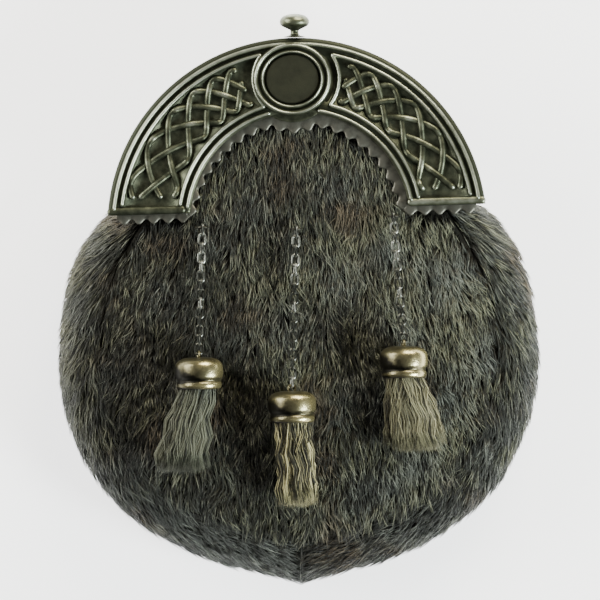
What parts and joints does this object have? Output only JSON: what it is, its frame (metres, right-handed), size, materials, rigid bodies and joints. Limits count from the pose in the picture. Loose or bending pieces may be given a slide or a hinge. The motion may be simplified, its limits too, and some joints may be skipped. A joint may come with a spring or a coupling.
{
  "type": "sporran pouch",
  "caption": "Fur sporran pouch: hollow fur-on hide bag under a cast arch cantle with a knob, scalloped plate, leather back and flap, and hair tassels in metal caps on chains.",
  "frame": {"origin": "centre of the bounding box's bottom: the pouch lies on its back on a surface", "axes": "+Y from the pointed bottom up to the knob (longest), +Z out of the front (shortest), +X to the right of the front view"},
  "size_m": [0.2076, 0.2422, 0.0622],
  "materials": {
    "fur": "near-black olive-brown fur on hide, combed down in clumps",
    "leather": "plain black leather",
    "pewter": "antiqued dark olive cast metal, bright where worn",
    "dark_disc": "dark dull metal disc",
    "grey_metal": "dull grey plated metal",
    "aged_brass": "antiqued brass, dark in the groove",
    "tassel_hair": "coarse olive-brown hair"
  },
  "bodies": {
    "root": {"front_panel": "fur", "gusset_left": "fur", "gusset_right": "fur", "top_gusset": "leather", "back_panel": "leather", "back_flap": "leather", "flap_stud": "grey_metal", "belt_loop_left": "leather", "belt_loop_right": "leather", "cantle": "pewter", "boss_disc": "dark_disc", "scalloped_backplate": "grey_metal", "top_knob": "pewter", "chain_staple_left": "grey_metal", "chain_staple_middle": "grey_metal", "chain_staple_right": "grey_metal", "chain_left": "grey_metal", "chain_middle": "grey_metal", "chain_right": "grey_metal", "tassel_cap_left": "aged_brass", "tassel_cap_middle": "aged_brass", "tassel_cap_right": "aged_brass", "tassel_hair_left": "tassel_hair", "tassel_hair_middle": "tassel_hair", "tassel_hair_right": "tassel_hair"}
  },
  "joints": []
}
